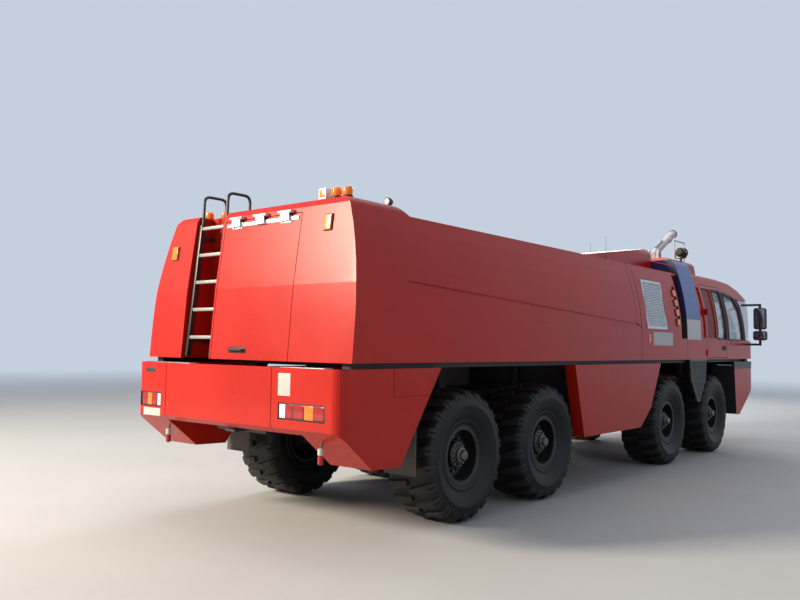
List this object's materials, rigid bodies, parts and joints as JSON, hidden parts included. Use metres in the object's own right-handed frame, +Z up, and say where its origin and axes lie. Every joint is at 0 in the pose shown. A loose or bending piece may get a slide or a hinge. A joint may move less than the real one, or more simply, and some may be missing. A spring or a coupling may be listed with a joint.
{
  "type": "airport fire truck",
  "caption": "Eight-wheeled airport fire truck with a low-set cab, roof water monitor, two steered front axles, cab doors, and a rear engine hatch beside a ladder.",
  "frame": {"origin": "centre of the bounding box at the ground, under the tyres", "axes": "+X forward, +Y to the vehicle's left, +Z up"},
  "size_m": [12.1, 3.76, 4.1596],
  "materials": {
    "chassis_paint": "satin paint",
    "black_paint": "satin paint",
    "cast_metal": "rough",
    "red_paint": "gloss paint",
    "blue_paint": "gloss paint",
    "pale_panel": "satin paint",
    "clear_glass": "clear",
    "aluminium": "satin",
    "black_plastic": "matt",
    "amber_lens": "gloss",
    "red_lens": "gloss",
    "lamp_glass": "clear",
    "seat_fabric": "woven",
    "flap_rubber": "matt",
    "rim_paint": "satin paint",
    "tyre_rubber": "matt"
  },
  "bodies": {
    "chassis": {"frame": "chassis_paint", "subframe": "chassis_paint", "tow_jaw": "black_paint", "front_axles": "cast_metal", "rear_axles": "cast_metal", "leaf_springs": "cast_metal", "engine": "cast_metal", "side_tanks": "chassis_paint", "tank_body": "red_paint", "pump_housing": "red_paint", "roof_hood": "red_paint", "rear_corners": "red_paint", "rear_centre_panel": "red_paint", "middle_skirts": "red_paint", "front_bumper": "red_paint", "cab_shell": "red_paint", "arch_band": "blue_paint", "arch_feet": "pale_panel", "roof_fairing": "red_paint", "cab_glass": "clear_glass", "grilles": "aluminium", "ladder": "aluminium", "grab_rails": "black_paint", "mirrors": "black_plastic", "amber_beacons": "amber_lens", "tail_lamps": "red_lens", "headlamps": "lamp_glass", "flank_lamps": "amber_lens", "seats": "seat_fabric", "dashboard": "black_plastic", "searchlight": "black_paint", "mud_flaps": "flap_rubber"},
    "rear_hatch": {"rear_hatch": "red_paint"},
    "door_right": {"door_right": "red_paint", "door_glass_right": "clear_glass"},
    "door_left": {"door_left": "red_paint", "door_glass_left": "clear_glass"},
    "monitor_turret": {"monitor_turret": "cast_metal"},
    "monitor_barrel": {"monitor_barrel": "aluminium"},
    "wheel_1_right": {"wheel_1_right": "rim_paint", "tyre_1_right": "tyre_rubber"},
    "knuckle_1_right": {"knuckle_1_right": "cast_metal"},
    "wheel_1_left": {"wheel_1_left": "rim_paint", "tyre_1_left": "tyre_rubber"},
    "knuckle_1_left": {"knuckle_1_left": "cast_metal"},
    "wheel_2_right": {"wheel_2_right": "rim_paint", "tyre_2_right": "tyre_rubber"},
    "knuckle_2_right": {"knuckle_2_right": "cast_metal"},
    "wheel_2_left": {"wheel_2_left": "rim_paint", "tyre_2_left": "tyre_rubber"},
    "knuckle_2_left": {"knuckle_2_left": "cast_metal"},
    "wheel_3_right": {"wheel_3_right": "rim_paint", "tyre_3_right": "tyre_rubber"},
    "wheel_3_left": {"wheel_3_left": "rim_paint", "tyre_3_left": "tyre_rubber"},
    "wheel_4_right": {"wheel_4_right": "rim_paint", "tyre_4_right": "tyre_rubber"},
    "wheel_4_left": {"wheel_4_left": "rim_paint", "tyre_4_left": "tyre_rubber"}
  },
  "joints": [
    {"name": "hatch_hinge", "type": "hinge", "parent": "chassis", "child": "rear_hatch", "pos_m": [-5.792, 0, 3.054], "axis": [0, 1, 0], "range_deg": [0, 75]},
    {"name": "door_right_hinge", "type": "hinge", "parent": "chassis", "child": "door_right", "pos_m": [3.046, -1.506, 1.75], "axis": [0, 0, -1], "range_deg": [0, 70]},
    {"name": "door_left_hinge", "type": "hinge", "parent": "chassis", "child": "door_left", "pos_m": [3.046, 1.506, 1.75], "axis": [0, 0, 1], "range_deg": [0, 70]},
    {"name": "monitor_turn", "type": "hinge", "parent": "chassis", "child": "monitor_turret", "pos_m": [3.65, -0.33, 3.41], "axis": [0, 0, 1], "range_deg": [-40, 170]},
    {"name": "monitor_raise", "type": "hinge", "parent": "monitor_turret", "child": "monitor_barrel", "pos_m": [3.65, -0.33, 3.59], "axis": [0, -1, 0], "range_deg": [-17, 43]},
    {"name": "steer_1_right", "type": "hinge", "parent": "chassis", "child": "knuckle_1_right", "pos_m": [3.67, -0.93, 0.68], "axis": [0, 0, 1], "range_deg": [-25, 25]},
    {"name": "spin_1_right", "type": "hinge", "parent": "knuckle_1_right", "child": "wheel_1_right", "pos_m": [3.67, -1.14, 0.68], "axis": [0, 1, 0], "continuous": true},
    {"name": "steer_1_left", "type": "hinge", "parent": "chassis", "child": "knuckle_1_left", "pos_m": [3.67, 0.93, 0.68], "axis": [0, 0, 1], "range_deg": [-25, 25]},
    {"name": "spin_1_left", "type": "hinge", "parent": "knuckle_1_left", "child": "wheel_1_left", "pos_m": [3.67, 1.14, 0.68], "axis": [0, 1, 0], "continuous": true},
    {"name": "steer_2_right", "type": "hinge", "parent": "chassis", "child": "knuckle_2_right", "pos_m": [1.55, -0.93, 0.68], "axis": [0, 0, 1], "range_deg": [-18.75, 18.75]},
    {"name": "spin_2_right", "type": "hinge", "parent": "knuckle_2_right", "child": "wheel_2_right", "pos_m": [1.55, -1.14, 0.68], "axis": [0, 1, 0], "continuous": true},
    {"name": "steer_2_left", "type": "hinge", "parent": "chassis", "child": "knuckle_2_left", "pos_m": [1.55, 0.93, 0.68], "axis": [0, 0, 1], "range_deg": [-18.75, 18.75]},
    {"name": "spin_2_left", "type": "hinge", "parent": "knuckle_2_left", "child": "wheel_2_left", "pos_m": [1.55, 1.14, 0.68], "axis": [0, 1, 0], "continuous": true},
    {"name": "spin_3_right", "type": "hinge", "parent": "chassis", "child": "wheel_3_right", "pos_m": [-2.37, -1.14, 0.68], "axis": [0, 1, 0], "continuous": true},
    {"name": "spin_3_left", "type": "hinge", "parent": "chassis", "child": "wheel_3_left", "pos_m": [-2.37, 1.14, 0.68], "axis": [0, 1, 0], "continuous": true},
    {"name": "spin_4_right", "type": "hinge", "parent": "chassis", "child": "wheel_4_right", "pos_m": [-4.06, -1.14, 0.68], "axis": [0, 1, 0], "continuous": true},
    {"name": "spin_4_left", "type": "hinge", "parent": "chassis", "child": "wheel_4_left", "pos_m": [-4.06, 1.14, 0.68], "axis": [0, 1, 0], "continuous": true}
  ],
  "couplings": [
    {"joint": "steer_1_left", "follows": "steer_1_right", "ratio": 1},
    {"joint": "steer_2_right", "follows": "steer_1_right", "ratio": 0.75},
    {"joint": "steer_2_left", "follows": "steer_1_right", "ratio": 0.75}
  ]
}
